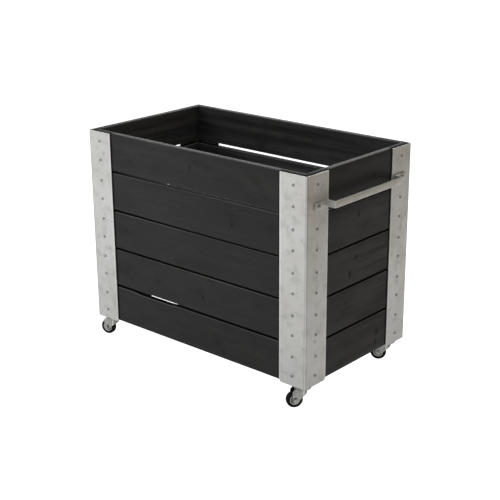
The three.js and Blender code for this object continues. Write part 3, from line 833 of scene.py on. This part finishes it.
def sheet_form(columns, rows, stray=None):
    """A bent sheet from columns of (middle, outward normal, low, high), closed all round.

    stray(column, z) moves the outer face outwards.
    """
    outer, inner = [], []
    for number, (middle, normal, low, high) in enumerate(columns):
        for row in range(rows + 1):
            z = low + (high - low) * row / rows
            shift = stray(number, z) if stray else 0.0
            outer.append(middle + normal * (SHEET / 2 + shift) + Vector((0, 0, z)))
            inner.append(middle - normal * SHEET / 2 + Vector((0, 0, z)))
    rise, back = rows + 1, len(outer)
    faces = []
    last = (len(columns) - 1) * rise
    for first in range(0, last, rise):
        for a in range(first, first + rows):
            b = a + rise
            faces.append([a, b, b + 1, a + 1])
            faces.append([back + a, back + a + 1, back + b + 1, back + b])
        for a in (first, first + rows):
            faces.append([a, back + a, back + a + rise, a + rise])
    for first in (0, last):
        for a in range(first, first + rows):
            faces.append([a, a + 1, back + a + 1, back + a])
    return outer + inner, faces


def post_column(distance, flange):
    """A point of the sheet's middle and its outward normal, at a distance from the corner."""
    radius = BEND_OUTSIDE - SHEET / 2
    if distance >= BEND_OUTSIDE:
        point, normal = (distance, SHEET / 2), (0, -1)
    else:
        angle = math.radians(225 + 45 * distance / BEND_OUTSIDE)
        normal = (math.cos(angle), math.sin(angle))
        point = (BEND_OUTSIDE + radius * normal[0], BEND_OUTSIDE + radius * normal[1])
    if flange == "y":
        point, normal = point[::-1], normal[::-1]
    return Vector((*point, 0)), Vector((*normal, 0))


def foot_height(distance, width):
    """How far the sheet's foot is cut away, near the free edge."""
    from_edge = width - distance
    if from_edge >= FOOT_ROUND:
        return 0.0
    return FOOT_ROUND - math.sqrt(max(0.0, FOOT_ROUND**2 - (FOOT_ROUND - from_edge) ** 2))


def post_form(width, bottom, top, seed):
    """The bent sheet of a post, its outer corner at the origin, its flanges along +X and +Y."""
    free_edge = [width - FOOT_ROUND * (1 - math.cos(math.radians(a))) for a in FOOT_ROUND_ANGLES]
    across = [width * share for share in FLANGE_SHARES]
    marks = [DIE_MARK + DIE_MARK_HALF, DIE_MARK, DIE_MARK - DIE_MARK_HALF, 2 * BEND_OUTSIDE]
    bend = [BEND_OUTSIDE * i / BEND_STEPS for i in range(BEND_STEPS, 0, -1)]
    steps = free_edge + across + marks + bend
    places = [(d, "x") for d in steps] + [(0.0, "x")] + [(d, "y") for d in reversed(steps)]
    columns = []
    for distance, flange in places:
        middle, normal = post_column(distance, flange)
        columns.append((middle, normal, bottom + foot_height(distance, width), top))
    buckles_across, buckles_up = BUCKLES_PER_METRE

    def stray(number, z):
        distance, flange = places[number]
        place = Vector((distance * buckles_across + BUCKLE_SIDE[flange], z * buckles_up, seed))
        buckle = noise.noise(place) * POST_BUCKLE * min(1.0, distance / POST_STIFF)
        dent = DIE_MARK_DEPTH if distance == DIE_MARK else 0.0
        return min(0.0, buckle) - dent

    return sheet_form(columns, POST_ROWS, stray)


def sheet_painted_light(point, width):
    """Painted light on the zinc: a painted highlight on the bend and the free edges, a painted dark line
    beside the bend.
    """
    from_corner = max(point.x, point.y)
    if from_corner < BEND_HIGHLIGHT * BEND_OUTSIDE:
        return 1.0
    if from_corner < BEND_DARK_LINE * BEND_OUTSIDE:
        return DARK_LINE_BESIDE_BEND
    return EDGE_HIGHLIGHT if from_corner > width - EDGE_HIGHLIGHT_WIDTH else 0.0


def head_form(radius, height, slot_reach, spin):
    """A round screw head about Z with a cross recess, its seat on Z = 0."""
    def ring(r, z, cross=0.0):
        points = []
        for i in range(HEAD_SIDES):
            angle = 2 * math.pi * i / HEAD_SIDES
            arm = abs(math.cos(2 * angle)) ** 3 if cross else 1.0
            reach = r * (1 - cross + cross * arm)
            points.append((reach * math.cos(angle + spin), reach * math.sin(angle + spin), z))
        return points

    rings = [ring(radius * r, height * z) for r, z in HEAD_PROFILE]
    rings += [ring(slot_reach * r, height * z, cross) for r, z, cross in RECESS_PROFILE]
    return loft(rings)


def screw_heights():
    """Two screws in each plank, about the middle of the posts."""
    post_low, post_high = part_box("post_front_left")
    wall_low, wall_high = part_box(f"plank_front_{ROWS}")[0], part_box("plank_front_1")[1]
    shift = (post_low.z + post_high.z) / 2 - (wall_low.z + wall_high.z) / 2
    heights = []
    for row in range(1, ROWS + 1):
        low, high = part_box(f"plank_front_{row}")
        middle = (low.z + high.z) / 2 + shift
        heights += [middle + SCREW_SPREAD / 2, middle - SCREW_SPREAD / 2]
    return heights


def add_posts():
    heights = screw_heights()
    for number, (corner, (side_x, side_y, turn)) in enumerate(CORNERS.items()):
        node = f"post_{corner}"
        low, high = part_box(node)
        x = (high if side_x > 0 else low).x - side_x * HEAD_HEIGHT
        y = (high if side_y > 0 else low).y - side_y * HEAD_HEIGHT
        width = high.x - low.x - HEAD_HEIGHT
        place = Matrix.Translation((x, y, 0)) @ rotation("Z", turn)
        sheet = Shape().add(post_form(width, low.z, high.z, POST_SEED_STEP * number), place)
        post = make_piece(f"corner_{corner}", sheet, GALVANISED,
                          stands_for=(node,), ease=SHEET_EASE, smooth=50)
        # The post's painted highlights and painted dark line
        mark_points(post, "painted_light", place, lambda point: sheet_painted_light(point, width))
        add_foot_plate(corner, place, width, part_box(f"caster_plate_{corner}")[1].z)
        add_post_screws(corner, place, width, heights)


def add_foot_plate(corner, place, width, bottom):
    """The plate across a post's foot, inside the bend, on top of the caster's plate."""
    outer = width - FOOT_PLATE_INSET
    cut = outer - FOOT_PLATE_CORNER
    outline = [(SHEET, SHEET), (outer, SHEET), (outer, cut), (cut, outer), (SHEET, outer)]
    plate = Shape().add(prism(outline, bottom + FOOT_PLATE_GAP, bottom + SHEET), place)
    make_piece(f"foot_plate_{corner}", plate, GALVANISED, ease=SHEET_EASE)


def add_post_screws(corner, place, width, heights):
    """Two screws to a plank in both flanges, but none where a handle's screw sits."""
    seats = {
        "x": (width / 2, 0, rotation("X", 90)),
        "y": (0, width / 2, rotation("Z", -90) @ rotation("X", 90)),
    }
    heads = Shape()
    for row, height in enumerate(heights):
        for flange, (x, y, turn) in seats.items():
            if row == HANDLE_ROW and flange == HANDLE_FLANGES.get(corner):
                continue
            form = head_form(HEAD_RADIUS, HEAD_HEIGHT, RECESS_REACH, rng.uniform(0, math.pi))
            heads.add(form, place @ Matrix.Translation((x, y, height)) @ turn)
    make_piece(f"screws_{corner}", heads, SCREW_STEEL, smooth=45)


# -------- handle


def bent_line(line, radius):
    """A line of plane points with round corners: (point, direction) pairs along it."""
    stops = []
    for i in range(1, len(line) - 1):
        before, here, after = (Vector(line[k]) for k in (i - 1, i, i + 1))
        into, out = (here - before).normalized(), (after - here).normalized()
        turn = math.atan2(into.x * out.y - into.y * out.x, into.dot(out))
        set_back = radius * math.tan(abs(turn) / 2)
        start = here - into * set_back
        side = math.copysign(1, turn)
        centre = start + Vector((-into.y, into.x)) * side * radius
        for step in range(BAR_BEND_STEPS + 1):
            angle = turn * step / BAR_BEND_STEPS
            direction = Matrix.Rotation(angle, 2) @ into
            arm = Vector((direction.y, -direction.x)) * side * radius
            stops.append((centre + arm, direction))
    first, last = Vector(line[0]), Vector(line[-1])
    into = (Vector(line[1]) - first).normalized()
    out = (last - Vector(line[-2])).normalized()
    return [(first, into)] + stops + [(last, out)]


def add_handle():
    low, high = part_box("handle")
    tab, bar = low.x + BAR_THICKNESS / 2, high.x - BAR_THICKNESS / 2
    end = high.y
    arm = end - ARM_FROM_TAB_END - BAR_THICKNESS / 2
    line = [(tab, -end), (tab, -arm), (bar, -arm), (bar, arm), (tab, arm), (tab, end)]
    middle, height = (low.z + high.z) / 2, high.z - low.z
    stops = bent_line(line, BAR_BEND_MIDDLE)
    rings = round_tab(stops[0], middle, height)[::-1]
    rings += [bar_section(point, direction, middle, height) for point, direction in stops[1:-1]]
    rings += round_tab(stops[-1], middle, height, -1)
    make_piece("pull_handle", Shape().add(loft(rings)), GALVANISED,
               stands_for=("handle",))
    for node in ("handle_screw_front", "handle_screw_back"):
        low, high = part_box(node)
        radius = (high.y - low.y) / 2
        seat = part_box("handle")[0].x + BAR_THICKNESS
        form = head_form(radius, high.x - seat, HANDLE_RECESS_REACH, rng.uniform(0, math.pi))
        place = Matrix.Translation((seat, (low.y + high.y) / 2, (low.z + high.z) / 2))
        make_piece(node.replace("screw", "bolt"), Shape().add(form, place @ rotation("Y", 90)),
                   SCREW_STEEL, stands_for=(node,), smooth=45)


def bar_section(point, direction, middle, height):
    """The flat bar's section at a point of its line."""
    normal = Vector((direction.y, -direction.x))
    ring = []
    for across, up in rounded_box(BAR_THICKNESS, height, BAR_EASE, BAR_EASE_STEPS):
        flat = point + normal * across
        ring.append((flat.x, flat.y, middle + up))
    return ring


def round_tab(stop, middle, height, way=1):
    """Sections that round off the tab's end, from the straight bar outwards."""
    point, direction = stop
    rings = []
    for angle in TAB_ANGLES:
        back = TAB_ROUND * (1 - math.sin(math.radians(angle)))
        narrower = TAB_ROUND * (1 - math.cos(math.radians(angle)))
        end = point + direction * back * way
        rings.append(bar_section(end, direction, middle, height - 2 * narrower))
    return rings


# -------- casters


def caster_place(corner):
    """The swivel's place, its axis on Z and its wheel along +X; the trail and the wheel's height."""
    low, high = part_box(f"caster_plate_{corner}")
    axis = (low + high) / 2
    low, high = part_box(f"wheel_tyre_{corner}")
    wheel = (low + high) / 2
    arm = wheel - axis
    turn = Matrix.Rotation(math.atan2(arm.y, arm.x), 4, "Z")
    return Matrix.Translation((axis.x, axis.y, 0)) @ turn, math.hypot(arm.x, arm.y), wheel.z


def add_caster_plate(corner):
    """The plate with its four bolts and the upper race and kingpin under it, which don't swivel."""
    low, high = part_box(f"caster_plate_{corner}")
    axis = (low + high) / 2
    size = high.x - low.x
    bottom = high.z - SHEET
    place = Matrix.Translation((axis.x, axis.y, 0))
    outline = rounded_box(size, size, PLATE_CORNER, PLATE_CORNER_STEPS)
    plate = Shape().add(prism(outline, bottom, high.z), place)
    radius, height = PLATE_BOLT_HEAD
    head = prism(arc(0, 0, radius, *HEXAGON), bottom - height, bottom + SUNK)
    radius, height = PLATE_WASHER
    washer = turned([(radius, bottom - height), (radius, bottom + SUNK)], PLATE_WASHER_SIDES)
    for x in (-PLATE_BOLT, PLATE_BOLT):
        for y in (-PLATE_BOLT, PLATE_BOLT):
            at_bolt = place @ Matrix.Translation((x, y, 0))
            plate.add(head, at_bolt).add(washer, at_bolt)
    make_piece(f"top_plate_{corner}", plate, ZINC,
               stands_for=(f"caster_plate_{corner}",), ease=PLATE_EASE)
    race = Shape().add(turned(millimetres(RACE_PROFILE)), place)
    make_piece(f"upper_race_{corner}", race, GREASY_SHADED_RACE)
    kingpin = Shape().add(turned(millimetres(KINGPIN_PROFILE), SMALL_SIDES), place)
    make_piece(f"kingpin_{corner}", kingpin, ZINC)


def fork_columns(trail, wheel_z):
    """The pressed fork: two cheeks that meet in a round front, cut to the fork's side view."""
    front = -CROWN_RADIUS + CROWN_LIP
    back = trail + FORK_BOSS
    to_front = Vector((front - trail, CROWN_BOTTOM - wheel_z))
    slant = math.atan2(to_front.y, to_front.x) + math.acos(FORK_BOSS / to_front.length)
    touch = Vector((trail + FORK_BOSS * math.cos(slant), wheel_z + FORK_BOSS * math.sin(slant)))
    rise = (CROWN_BOTTOM - touch.y) / (front - touch.x)

    def low(x):
        if x < touch.x:
            return touch.y + rise * (x - touch.x)
        return wheel_z - math.sqrt(max(0.0, FORK_BOSS**2 - (x - trail) ** 2))

    def high(x):
        beyond = max(0.0, (x - CROWN_RADIUS) / (back - CROWN_RADIUS))
        return CROWN_BOTTOM + SHEET - beyond * (SHEET + FORK_SHOULDER)

    half = CHEEK_OUTER - SHEET / 2
    cheek = [trail + FORK_BOSS * math.cos(math.radians(a)) for a in range(0, 181, FORK_TURN_STEP)]
    cheek += [(trail - FORK_BOSS) * share for share in CHEEK_SHARES]
    line = [(Vector((x, -half, 0)), Vector((0, -1, 0))) for x in cheek]
    for angle in range(270, 89, -FORK_TURN_STEP):
        outward = Vector((math.cos(math.radians(angle)), math.sin(math.radians(angle)), 0))
        line.append((outward * half, outward))
    line += [(Vector((x, half, 0)), Vector((0, 1, 0))) for x in reversed(cheek)]
    return [(point, normal, low(point.x), high(point.x)) for point, normal in line]


def add_fork(corner, body, place, trail, wheel_z):
    """Its crown, which is turned, and its cheeks, which are bent sheet."""
    crown = Shape().add(turned(millimetres(CROWN_PROFILE), closed=True), place)
    make_piece(f"fork_crown_{corner}", crown, ZINC, body)
    cheeks = Shape().add(sheet_form(fork_columns(trail, wheel_z), FORK_ROWS), place)
    fork = make_piece(f"fork_{corner}", cheeks, ZINC, body,
                      stands_for=(f"caster_fork_{corner}",), ease=FORK_EASE)
    # The fork's painted highlight and painted shade
    mark_points(fork, "painted_light", place, fork_painted_light)


def fork_painted_light(point):
    """A painted highlight where a flat cheek turns into the round front, and painted shade on that
    front.
    """
    if abs(point.x) < FORK_HIGHLIGHT_LINE:
        return 1.0
    return FORK_FRONT_SHADE if point.x < -2 * FORK_HIGHLIGHT_LINE else 0.0


def add_axle(corner, body, on_axle):
    hexagon = arc(0, 0, AXLE_HEXAGON, *HEXAGON)
    bolt = Shape()
    bolt.add(turned(millimetres(SHANK_PROFILE), SMALL_SIDES), on_axle)
    bolt.add(prism(hexagon, AXLE_SEAT, AXLE_SEAT + AXLE_HEAD_HEIGHT), on_axle)
    make_piece(f"axle_bolt_{corner}", bolt, ZINC, body,
               stands_for=(f"caster_axle_{corner}",), ease=BOLT_EASE)
    nut = Shape()
    nut.add(prism(hexagon, -AXLE_SEAT - NUT_HEIGHT, -AXLE_SEAT), on_axle)
    nut.add(turned(millimetres(COLLAR_PROFILE, -AXLE_SEAT), SMALL_SIDES, closed=True), on_axle)
    make_piece(f"lock_nut_{corner}", nut, ZINC, body,
               stands_for=(f"caster_nut_{corner}",), ease=NUT_EASE)


def add_wheel(corner, body, on_axle):
    core = Shape().add(turned(mirrored(HUB_HALF_PROFILE), closed=True), on_axle)
    rib_outline = rectangle(RIB_FROM, -RIB_HALF_THICK, RIB_TO, RIB_HALF_THICK)
    rib = prism(rib_outline, -RIB_HALF_WIDTH, RIB_HALF_WIDTH)
    for i in range(HUB_RIBS):
        core.add(rib, on_axle @ rotation("Z", 360 / HUB_RIBS * i))
    hub = make_piece(f"hub_{corner}", core, HUB_PLASTIC, body,
                     stands_for=(f"wheel_core_{corner}",), ease=HUB_EASE)
    mark_points(hub, "grime_and_painted_shade", on_axle, hub_dish_shade)
    tyre = Shape().add(turned(mirrored(TYRE_HALF_PROFILE), TYRE_SIDES, closed=True), on_axle)
    make_piece(f"tyre_{corner}", tyre, RUBBER, body,
               stands_for=(f"wheel_tyre_{corner}",), smooth=50)


def hub_dish_shade(point):
    """Painted shade in the hub's dish."""
    inner, outer = HUB_DISH
    in_dish = abs(point.z) < HUB_DISH_Z and inner < math.hypot(point.x, point.y) < outer
    return 1.0 if in_dish else 0.0


def mirrored(half):
    """A closed wheel profile from its upper half, given in millimetres."""
    upper = millimetres(half)
    return upper + [(radius, -height) for radius, height in reversed(upper)]


def add_casters():
    for corner in CORNERS:
        place, trail, wheel_z = caster_place(corner)
        # what is made about Z goes onto the axle, its +Z end on the swivel's +Y side
        on_axle = place @ Matrix.Translation((trail, 0, wheel_z)) @ rotation("X", -90)
        add_caster_plate(corner)
        add_fork(corner, f"fork_{corner}", place, trail, wheel_z)
        add_axle(corner, f"fork_{corner}", on_axle)
        add_wheel(corner, f"wheel_{corner}", on_axle)


# -------- floor, light and camera


def flat_mesh(name, corners, look):
    mesh = bpy.data.meshes.new(name)
    mesh.from_pydata(corners, [], [list(range(len(corners)))])
    mesh.materials.append(look.material)
    return add_object(name, mesh)


def add_floor():
    """A wide disc that shows white and takes no shadow."""
    rim = arc(0, 0, FLOOR_RADIUS, 0, 360 - 360 / FLOOR_SIDES, FLOOR_SIDES - 1)
    look = Look("floor", Roughness=0.9, Specular_IOR_Level=0.1,
                Base_Color=grey(0.25), Emission_Color=grey(1), Emission_Strength=FLOOR_GLOW)
    floor = flat_mesh("floor", [(x, y, 0.0) for x, y in rim], look)


def add_softbox(name, place, aim, width, height, watts):
    light = bpy.data.lights.new(name, "AREA")
    light.shape = "RECTANGLE"
    light.size, light.size_y = width, height
    light.energy = watts
    box = add_object(name, light)
    box.location = place
    box.rotation_euler = (Vector(aim) - Vector(place)).to_track_quat("-Z", "Y").to_euler()
    box.visible_camera = False


def add_card(name, corners, colour, glow=0.0):
    """A matt card that no camera sees, to keep some light off one side."""
    look = Look(name, Roughness=1.0, Specular_IOR_Level=0.0,
                Base_Color=colour, Emission_Color=colour, Emission_Strength=glow)
    card = flat_mesh(name, corners, look)
    card.visible_camera = False


def add_cards():
    """One beyond the handle, one on the floor round the planter, a darker one at its back right."""
    end = [(END_CARD_X, y, z) for y, z in rectangle(*END_CARD)]
    add_card("end_card", end, rgb(0.25, 0.21, 0.15))
    ground = [(x, y, FLOOR_CARD_Z) for x, y in rectangle(*FLOOR_CARD)]
    add_card("floor_card", ground, grey(0.5), FLOOR_CARD_GLOW)
    shade = [(x, y, SHADE_CARD_Z) for x, y in rectangle(*SHADE_CARD)]
    add_card("shade_card", shade, grey(0.5), SHADE_CARD_GLOW)


def add_light():
    world = bpy.data.worlds.new("studio")
    bpy.context.scene.world = world
    world.use_nodes = True
    background = world.node_tree.nodes["Background"]
    background.inputs["Color"].default_value = grey(1)
    background.inputs["Strength"].default_value = WORLD_LIGHT
    for name, softbox in SOFTBOXES.items():
        add_softbox(name, *softbox)
    fill_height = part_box("floor_slat_4")[1].z + FILL_ABOVE_SLATS
    add_softbox("fill", (0, 0, fill_height), FILL_AIM, *FILL_SIZE, FILL_WATTS)
    add_cards()


def add_camera():
    data = bpy.data.cameras.new("camera")
    data.lens = FOCAL_LENGTH * SENSOR_WIDTH / PHOTO_WIDTH
    data.sensor_width = SENSOR_WIDTH
    camera = add_object("camera", data)
    camera.location = CAMERA_PLACE
    aim = rotation("Z", CAMERA_AZIMUTH) @ rotation("X", 90 - CAMERA_ELEVATION)
    camera.rotation_euler = (aim @ rotation("Z", CAMERA_ROLL)).to_euler()
    bpy.context.scene.camera = camera


# -------- scene

add_camera()
add_planks()
add_battens()
add_posts()
add_handle()
add_casters()
add_floor()
add_light()
bpy.context.scene.view_settings.view_transform = "Standard"
